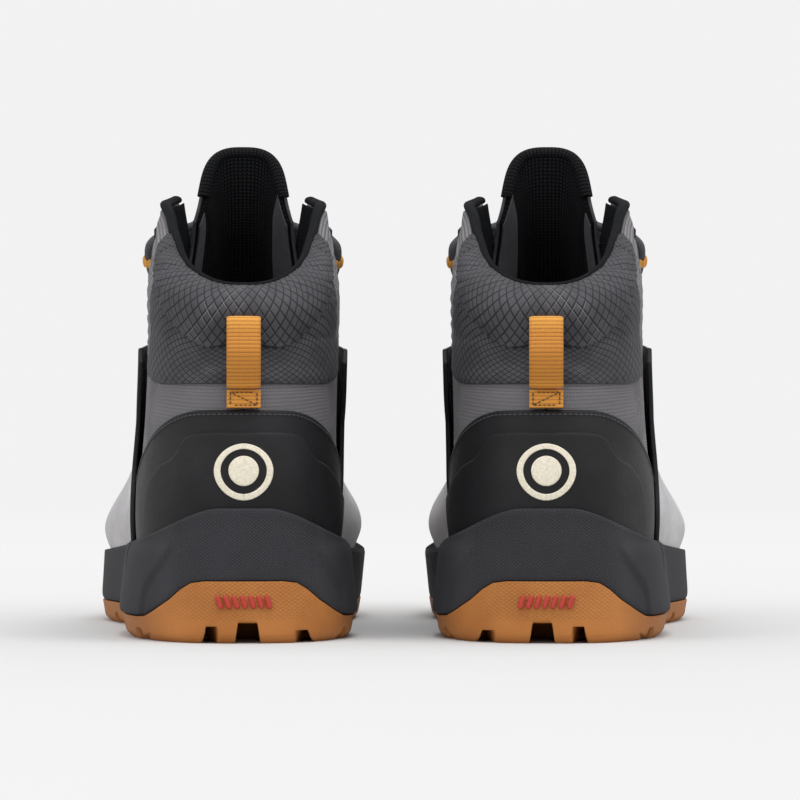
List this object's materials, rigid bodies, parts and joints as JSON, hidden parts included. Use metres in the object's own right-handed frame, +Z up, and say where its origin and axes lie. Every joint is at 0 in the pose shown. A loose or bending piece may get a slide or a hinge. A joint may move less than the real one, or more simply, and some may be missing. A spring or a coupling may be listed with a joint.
{
  "type": "hiking boots",
  "caption": "Pair of mid-height lace-up hiking boots with padded collars, lugged rubber outsoles, moulded heel cups and heel pull loops.",
  "frame": {"origin": "on the floor, midway between the two boots, at the middle of their overall length", "axes": "+Z up, +Y from the heels towards the toes, +X towards the right boot"},
  "size_m": [0.2542, 0.3032, 0.1972],
  "materials": {
    "gum_rubber": "satin, fine knurl",
    "red_rubber": "satin",
    "midsole_foam": "matt moulded foam",
    "nylon": "matt",
    "board": "matt",
    "knit": "matt knit",
    "woven": "matt ribbed weave",
    "ripstop": "matt ripstop weave",
    "side_film": "smooth",
    "black_film": "soft matt",
    "cream_film": "printed",
    "webbing": "ribbed webbing",
    "cord": "braided"
  },
  "bodies": {
    "boots": {"outsole_right": "gum_rubber", "outsole_mark_right": "red_rubber", "midsole_right": "midsole_foam", "shank_right": "nylon", "lasting_board_right": "board", "footbed_right": "knit", "heel_stiffener_right": "nylon", "toe_stiffener_right": "nylon", "quarter_outer_right": "woven", "quarter_inner_right": "woven", "vamp_right": "woven", "toe_cap_right": "black_film", "side_wing_outer_right": "side_film", "side_wing_inner_right": "side_film", "heel_cup_right": "black_film", "heel_badge_right": "cream_film", "ankle_pad_right": "ripstop", "collar_pad_right": "ripstop", "collar_lining_right": "knit", "vamp_lining_right": "knit", "eyestay_outer_right": "black_film", "eyestay_inner_right": "black_film", "lace_keepers_outer_right": "webbing", "lace_keepers_inner_right": "webbing", "lace_hook_outer_right": "webbing", "lace_hook_inner_right": "webbing", "lace_right": "cord", "pull_tab_foot_right": "webbing", "outsole_left": "gum_rubber", "outsole_mark_left": "red_rubber", "midsole_left": "midsole_foam", "shank_left": "nylon", "lasting_board_left": "board", "footbed_left": "knit", "heel_stiffener_left": "nylon", "toe_stiffener_left": "nylon", "quarter_outer_left": "woven", "quarter_inner_left": "woven", "vamp_left": "woven", "toe_cap_left": "black_film", "side_wing_outer_left": "side_film", "side_wing_inner_left": "side_film", "heel_cup_left": "black_film", "heel_badge_left": "cream_film", "ankle_pad_left": "ripstop", "collar_pad_left": "ripstop", "collar_lining_left": "knit", "vamp_lining_left": "knit", "eyestay_outer_left": "black_film", "eyestay_inner_left": "black_film", "lace_keepers_outer_left": "webbing", "lace_keepers_inner_left": "webbing", "lace_hook_outer_left": "webbing", "lace_hook_inner_left": "webbing", "lace_left": "cord", "pull_tab_foot_left": "webbing"},
    "tongue_right": {"tongue_right": "woven"},
    "tab_right": {"pull_tab_right": "webbing"},
    "tongue_left": {"tongue_left": "woven"},
    "tab_left": {"pull_tab_left": "webbing"}
  },
  "joints": [
    {"name": "tongue_fold_right", "type": "hinge", "parent": "boots", "child": "tongue_right", "pos_m": [0.06855, 0.0882, 0.076], "axis": [0.9986, -0.0523, 0], "range_deg": [0, 6]},
    {"name": "tab_swing_right", "type": "hinge", "parent": "boots", "child": "tab_right", "pos_m": [0.05635, -0.14458, 0.095], "axis": [0.9986, -0.0523, 0], "range_deg": [0, 100]},
    {"name": "tongue_fold_left", "type": "hinge", "parent": "boots", "child": "tongue_left", "pos_m": [-0.06855, 0.0882, 0.076], "axis": [0.9986, 0.0523, 0], "range_deg": [0, 6]},
    {"name": "tab_swing_left", "type": "hinge", "parent": "boots", "child": "tab_left", "pos_m": [-0.05635, -0.14458, 0.095], "axis": [0.9986, 0.0523, 0], "range_deg": [0, 100]}
  ]
}
